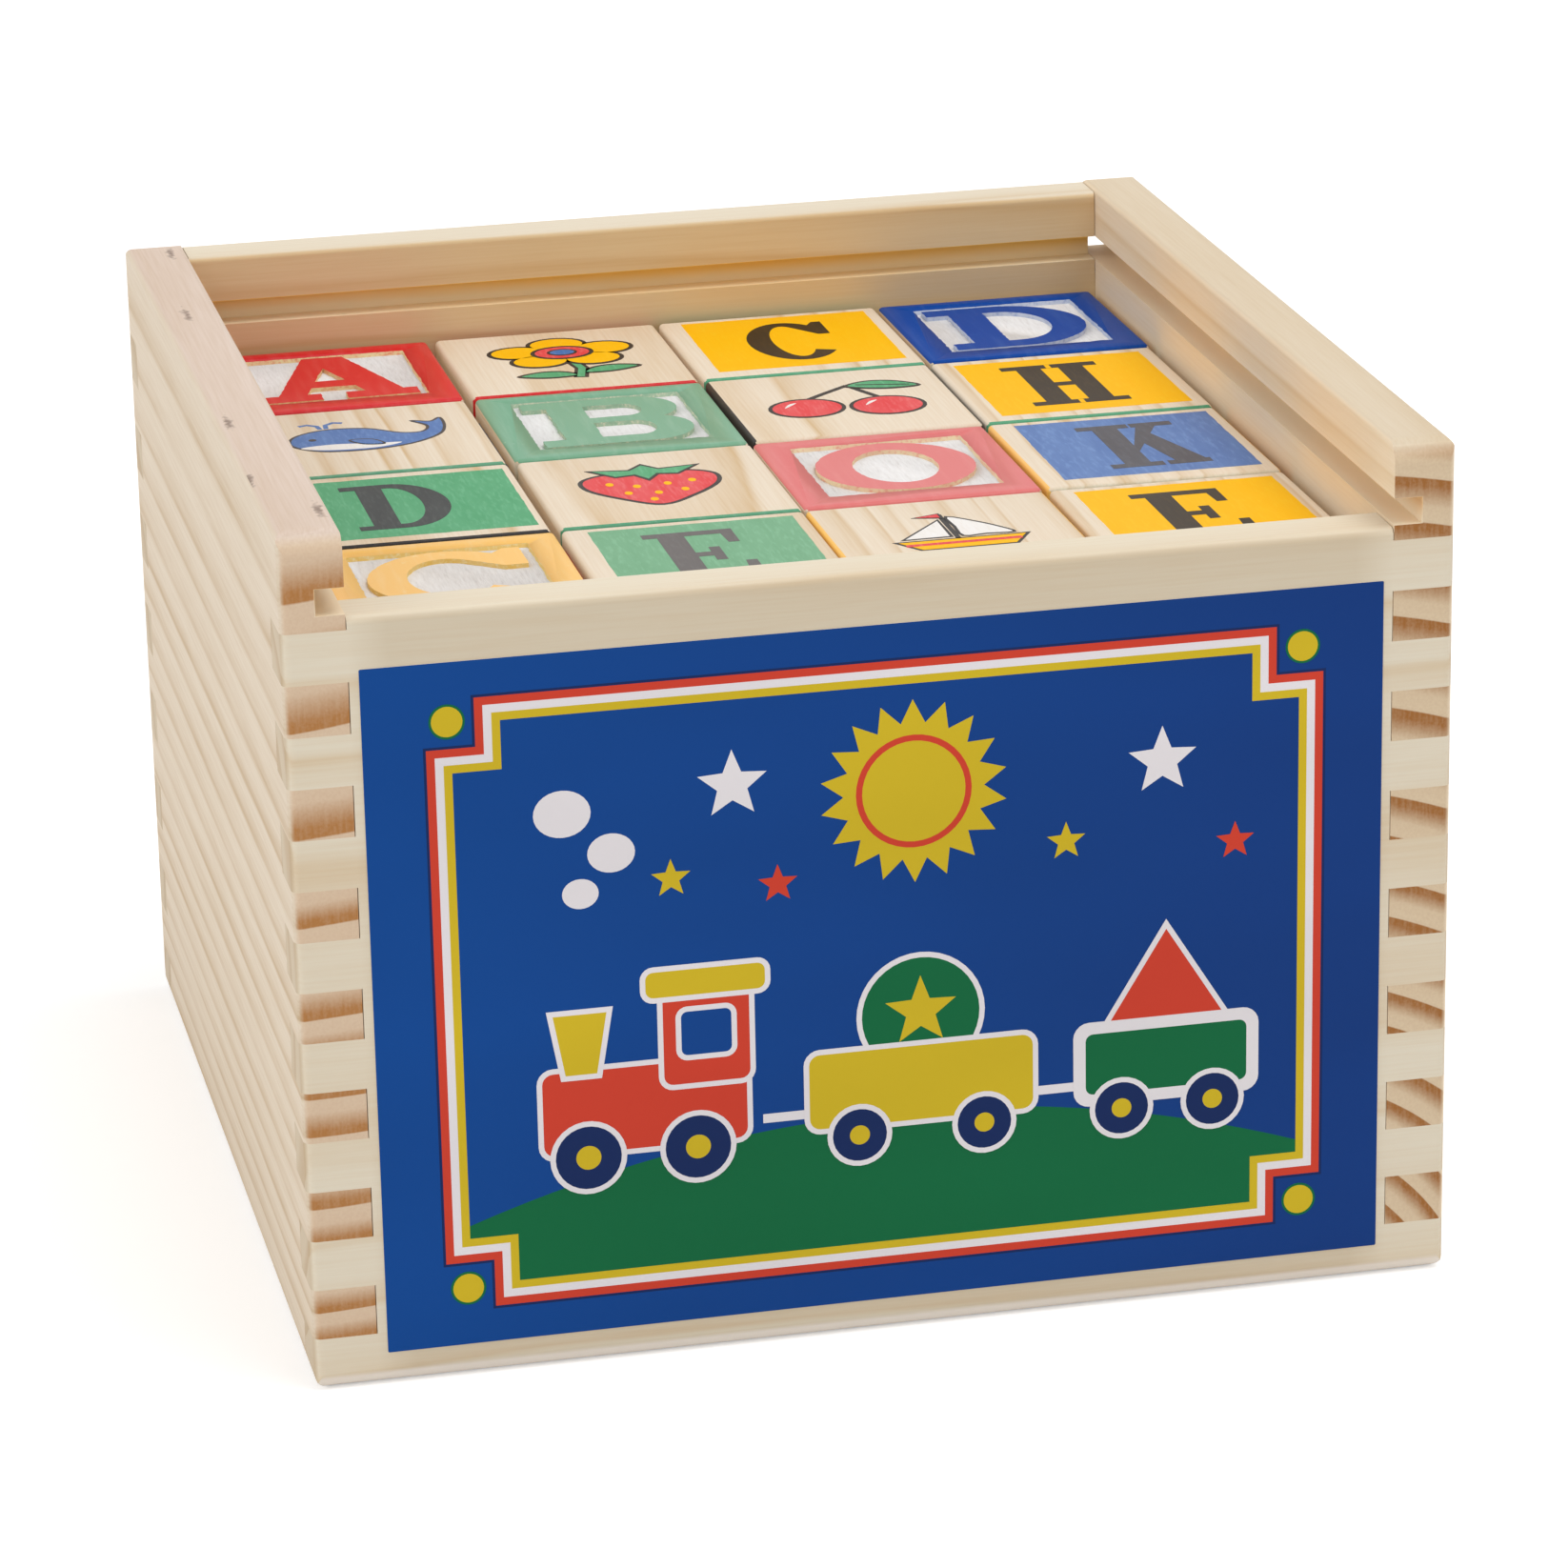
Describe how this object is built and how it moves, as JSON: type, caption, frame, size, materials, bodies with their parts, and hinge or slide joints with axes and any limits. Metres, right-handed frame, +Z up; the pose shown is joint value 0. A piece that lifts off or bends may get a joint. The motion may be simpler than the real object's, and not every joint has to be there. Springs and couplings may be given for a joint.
{
  "type": "boxed alphabet block set",
  "caption": "Comb-jointed pine box with a sliding-lid groove, holding a stacked grid of carved wooden alphabet blocks that lift out one by one.",
  "frame": {"origin": "centre of the box's footprint, on the surface that it stands on", "axes": "+Z up, out of the open top; -Y out of the labelled front; +X to the right as the label is read"},
  "size_m": [0.148, 0.1482, 0.112],
  "materials": {
    "pine": "satin",
    "plywood": "matte",
    "label_card": "satin",
    "block_wood": "satin",
    "red_paint": "satin",
    "blue_paint": "satin",
    "green_paint": "satin",
    "yellow_paint": "satin",
    "black_paint": "satin"
  },
  "bodies": {
    "box": {"front_wall": "pine", "back_wall": "pine", "left_wall": "pine", "right_wall": "pine", "bottom_panel": "plywood", "front_label": "label_card"},
    "block_top_row1_1": {"block_top_row1_1": "block_wood"},
    "block_top_row1_2": {"block_top_row1_2": "block_wood"},
    "block_top_row1_3": {"block_top_row1_3": "block_wood"},
    "block_top_row1_4": {"block_top_row1_4": "block_wood"},
    "block_top_row2_1": {"block_top_row2_1": "block_wood"},
    "block_top_row2_2": {"block_top_row2_2": "block_wood"},
    "block_top_row2_3": {"block_top_row2_3": "block_wood"},
    "block_top_row2_4": {"block_top_row2_4": "block_wood"},
    "block_top_row3_1": {"block_top_row3_1": "block_wood"},
    "block_top_row3_2": {"block_top_row3_2": "block_wood"},
    "block_top_row3_3": {"block_top_row3_3": "block_wood"},
    "block_top_row3_4": {"block_top_row3_4": "block_wood"},
    "block_top_row4_1": {"block_top_row4_1": "block_wood"},
    "block_top_row4_2": {"block_top_row4_2": "block_wood"},
    "block_top_row4_3": {"block_top_row4_3": "block_wood"},
    "block_top_row4_4": {"block_top_row4_4": "block_wood"},
    "block_middle_row1_1": {"block_middle_row1_1": "block_wood"},
    "block_middle_row1_2": {"block_middle_row1_2": "block_wood"},
    "block_middle_row1_3": {"block_middle_row1_3": "block_wood"},
    "block_middle_row1_4": {"block_middle_row1_4": "block_wood"},
    "block_middle_row2_1": {"block_middle_row2_1": "block_wood"},
    "block_middle_row2_2": {"block_middle_row2_2": "block_wood"},
    "block_middle_row2_3": {"block_middle_row2_3": "block_wood"},
    "block_middle_row2_4": {"block_middle_row2_4": "block_wood"},
    "block_middle_row3_1": {"block_middle_row3_1": "block_wood"},
    "block_middle_row3_2": {"block_middle_row3_2": "block_wood"},
    "block_middle_row3_3": {"block_middle_row3_3": "block_wood"},
    "block_middle_row3_4": {"block_middle_row3_4": "block_wood"},
    "block_middle_row4_1": {"block_middle_row4_1": "block_wood"},
    "block_middle_row4_2": {"block_middle_row4_2": "block_wood"},
    "block_middle_row4_3": {"block_middle_row4_3": "block_wood"},
    "block_middle_row4_4": {"block_middle_row4_4": "block_wood"},
    "block_bottom_row1_1": {"block_bottom_row1_1": "block_wood"},
    "block_bottom_row1_2": {"block_bottom_row1_2": "block_wood"},
    "block_bottom_row1_3": {"block_bottom_row1_3": "block_wood"},
    "block_bottom_row1_4": {"block_bottom_row1_4": "block_wood"},
    "block_bottom_row2_1": {"block_bottom_row2_1": "block_wood"},
    "block_bottom_row2_2": {"block_bottom_row2_2": "block_wood"},
    "block_bottom_row2_3": {"block_bottom_row2_3": "block_wood"},
    "block_bottom_row2_4": {"block_bottom_row2_4": "block_wood"},
    "block_bottom_row3_1": {"block_bottom_row3_1": "block_wood"},
    "block_bottom_row3_2": {"block_bottom_row3_2": "block_wood"},
    "block_bottom_row3_3": {"block_bottom_row3_3": "block_wood"},
    "block_bottom_row3_4": {"block_bottom_row3_4": "block_wood"},
    "block_bottom_row4_1": {"block_bottom_row4_1": "block_wood"},
    "block_bottom_row4_2": {"block_bottom_row4_2": "block_wood"},
    "block_bottom_row4_3": {"block_bottom_row4_3": "block_wood"},
    "block_bottom_row4_4": {"block_bottom_row4_4": "block_wood"}
  },
  "joints": [
    {"name": "lift_bottom_row1_1", "type": "slide", "parent": "box", "child": "block_bottom_row1_1", "axis": [0, 0, 1], "range_m": [0, 0.114]},
    {"name": "lift_middle_row1_1", "type": "slide", "parent": "block_bottom_row1_1", "child": "block_middle_row1_1", "axis": [0, 0, 1], "range_m": [0, 0.08]},
    {"name": "lift_top_row1_1", "type": "slide", "parent": "block_middle_row1_1", "child": "block_top_row1_1", "axis": [0, 0, 1], "range_m": [0, 0.05]},
    {"name": "lift_bottom_row1_2", "type": "slide", "parent": "box", "child": "block_bottom_row1_2", "axis": [0, 0, 1], "range_m": [0, 0.114]},
    {"name": "lift_middle_row1_2", "type": "slide", "parent": "block_bottom_row1_2", "child": "block_middle_row1_2", "axis": [0, 0, 1], "range_m": [0, 0.08]},
    {"name": "lift_top_row1_2", "type": "slide", "parent": "block_middle_row1_2", "child": "block_top_row1_2", "axis": [0, 0, 1], "range_m": [0, 0.05]},
    {"name": "lift_bottom_row1_3", "type": "slide", "parent": "box", "child": "block_bottom_row1_3", "axis": [0, 0, 1], "range_m": [0, 0.114]},
    {"name": "lift_middle_row1_3", "type": "slide", "parent": "block_bottom_row1_3", "child": "block_middle_row1_3", "axis": [0, 0, 1], "range_m": [0, 0.08]},
    {"name": "lift_top_row1_3", "type": "slide", "parent": "block_middle_row1_3", "child": "block_top_row1_3", "axis": [0, 0, 1], "range_m": [0, 0.05]},
    {"name": "lift_bottom_row1_4", "type": "slide", "parent": "box", "child": "block_bottom_row1_4", "axis": [0, 0, 1], "range_m": [0, 0.114]},
    {"name": "lift_middle_row1_4", "type": "slide", "parent": "block_bottom_row1_4", "child": "block_middle_row1_4", "axis": [0, 0, 1], "range_m": [0, 0.08]},
    {"name": "lift_top_row1_4", "type": "slide", "parent": "block_middle_row1_4", "child": "block_top_row1_4", "axis": [0, 0, 1], "range_m": [0, 0.05]},
    {"name": "lift_bottom_row2_1", "type": "slide", "parent": "box", "child": "block_bottom_row2_1", "axis": [0, 0, 1], "range_m": [0, 0.114]},
    {"name": "lift_middle_row2_1", "type": "slide", "parent": "block_bottom_row2_1", "child": "block_middle_row2_1", "axis": [0, 0, 1], "range_m": [0, 0.08]},
    {"name": "lift_top_row2_1", "type": "slide", "parent": "block_middle_row2_1", "child": "block_top_row2_1", "axis": [0, 0, 1], "range_m": [0, 0.05]},
    {"name": "lift_bottom_row2_2", "type": "slide", "parent": "box", "child": "block_bottom_row2_2", "axis": [0, 0, 1], "range_m": [0, 0.114]},
    {"name": "lift_middle_row2_2", "type": "slide", "parent": "block_bottom_row2_2", "child": "block_middle_row2_2", "axis": [0, 0, 1], "range_m": [0, 0.08]},
    {"name": "lift_top_row2_2", "type": "slide", "parent": "block_middle_row2_2", "child": "block_top_row2_2", "axis": [0, 0, 1], "range_m": [0, 0.05]},
    {"name": "lift_bottom_row2_3", "type": "slide", "parent": "box", "child": "block_bottom_row2_3", "axis": [0, 0, 1], "range_m": [0, 0.114]},
    {"name": "lift_middle_row2_3", "type": "slide", "parent": "block_bottom_row2_3", "child": "block_middle_row2_3", "axis": [0, 0, 1], "range_m": [0, 0.08]},
    {"name": "lift_top_row2_3", "type": "slide", "parent": "block_middle_row2_3", "child": "block_top_row2_3", "axis": [0, 0, 1], "range_m": [0, 0.05]},
    {"name": "lift_bottom_row2_4", "type": "slide", "parent": "box", "child": "block_bottom_row2_4", "axis": [0, 0, 1], "range_m": [0, 0.114]},
    {"name": "lift_middle_row2_4", "type": "slide", "parent": "block_bottom_row2_4", "child": "block_middle_row2_4", "axis": [0, 0, 1], "range_m": [0, 0.08]},
    {"name": "lift_top_row2_4", "type": "slide", "parent": "block_middle_row2_4", "child": "block_top_row2_4", "axis": [0, 0, 1], "range_m": [0, 0.05]},
    {"name": "lift_bottom_row3_1", "type": "slide", "parent": "box", "child": "block_bottom_row3_1", "axis": [0, 0, 1], "range_m": [0, 0.114]},
    {"name": "lift_middle_row3_1", "type": "slide", "parent": "block_bottom_row3_1", "child": "block_middle_row3_1", "axis": [0, 0, 1], "range_m": [0, 0.08]},
    {"name": "lift_top_row3_1", "type": "slide", "parent": "block_middle_row3_1", "child": "block_top_row3_1", "axis": [0, 0, 1], "range_m": [0, 0.05]},
    {"name": "lift_bottom_row3_2", "type": "slide", "parent": "box", "child": "block_bottom_row3_2", "axis": [0, 0, 1], "range_m": [0, 0.114]},
    {"name": "lift_middle_row3_2", "type": "slide", "parent": "block_bottom_row3_2", "child": "block_middle_row3_2", "axis": [0, 0, 1], "range_m": [0, 0.08]},
    {"name": "lift_top_row3_2", "type": "slide", "parent": "block_middle_row3_2", "child": "block_top_row3_2", "axis": [0, 0, 1], "range_m": [0, 0.05]},
    {"name": "lift_bottom_row3_3", "type": "slide", "parent": "box", "child": "block_bottom_row3_3", "axis": [0, 0, 1], "range_m": [0, 0.114]},
    {"name": "lift_middle_row3_3", "type": "slide", "parent": "block_bottom_row3_3", "child": "block_middle_row3_3", "axis": [0, 0, 1], "range_m": [0, 0.08]},
    {"name": "lift_top_row3_3", "type": "slide", "parent": "block_middle_row3_3", "child": "block_top_row3_3", "axis": [0, 0, 1], "range_m": [0, 0.05]},
    {"name": "lift_bottom_row3_4", "type": "slide", "parent": "box", "child": "block_bottom_row3_4", "axis": [0, 0, 1], "range_m": [0, 0.114]},
    {"name": "lift_middle_row3_4", "type": "slide", "parent": "block_bottom_row3_4", "child": "block_middle_row3_4", "axis": [0, 0, 1], "range_m": [0, 0.08]},
    {"name": "lift_top_row3_4", "type": "slide", "parent": "block_middle_row3_4", "child": "block_top_row3_4", "axis": [0, 0, 1], "range_m": [0, 0.05]},
    {"name": "lift_bottom_row4_1", "type": "slide", "parent": "box", "child": "block_bottom_row4_1", "axis": [0, 0, 1], "range_m": [0, 0.114]},
    {"name": "lift_middle_row4_1", "type": "slide", "parent": "block_bottom_row4_1", "child": "block_middle_row4_1", "axis": [0, 0, 1], "range_m": [0, 0.08]},
    {"name": "lift_top_row4_1", "type": "slide", "parent": "block_middle_row4_1", "child": "block_top_row4_1", "axis": [0, 0, 1], "range_m": [0, 0.05]},
    {"name": "lift_bottom_row4_2", "type": "slide", "parent": "box", "child": "block_bottom_row4_2", "axis": [0, 0, 1], "range_m": [0, 0.114]},
    {"name": "lift_middle_row4_2", "type": "slide", "parent": "block_bottom_row4_2", "child": "block_middle_row4_2", "axis": [0, 0, 1], "range_m": [0, 0.08]},
    {"name": "lift_top_row4_2", "type": "slide", "parent": "block_middle_row4_2", "child": "block_top_row4_2", "axis": [0, 0, 1], "range_m": [0, 0.05]},
    {"name": "lift_bottom_row4_3", "type": "slide", "parent": "box", "child": "block_bottom_row4_3", "axis": [0, 0, 1], "range_m": [0, 0.114]},
    {"name": "lift_middle_row4_3", "type": "slide", "parent": "block_bottom_row4_3", "child": "block_middle_row4_3", "axis": [0, 0, 1], "range_m": [0, 0.08]},
    {"name": "lift_top_row4_3", "type": "slide", "parent": "block_middle_row4_3", "child": "block_top_row4_3", "axis": [0, 0, 1], "range_m": [0, 0.05]},
    {"name": "lift_bottom_row4_4", "type": "slide", "parent": "box", "child": "block_bottom_row4_4", "axis": [0, 0, 1], "range_m": [0, 0.114]},
    {"name": "lift_middle_row4_4", "type": "slide", "parent": "block_bottom_row4_4", "child": "block_middle_row4_4", "axis": [0, 0, 1], "range_m": [0, 0.08]},
    {"name": "lift_top_row4_4", "type": "slide", "parent": "block_middle_row4_4", "child": "block_top_row4_4", "axis": [0, 0, 1], "range_m": [0, 0.05]}
  ]
}
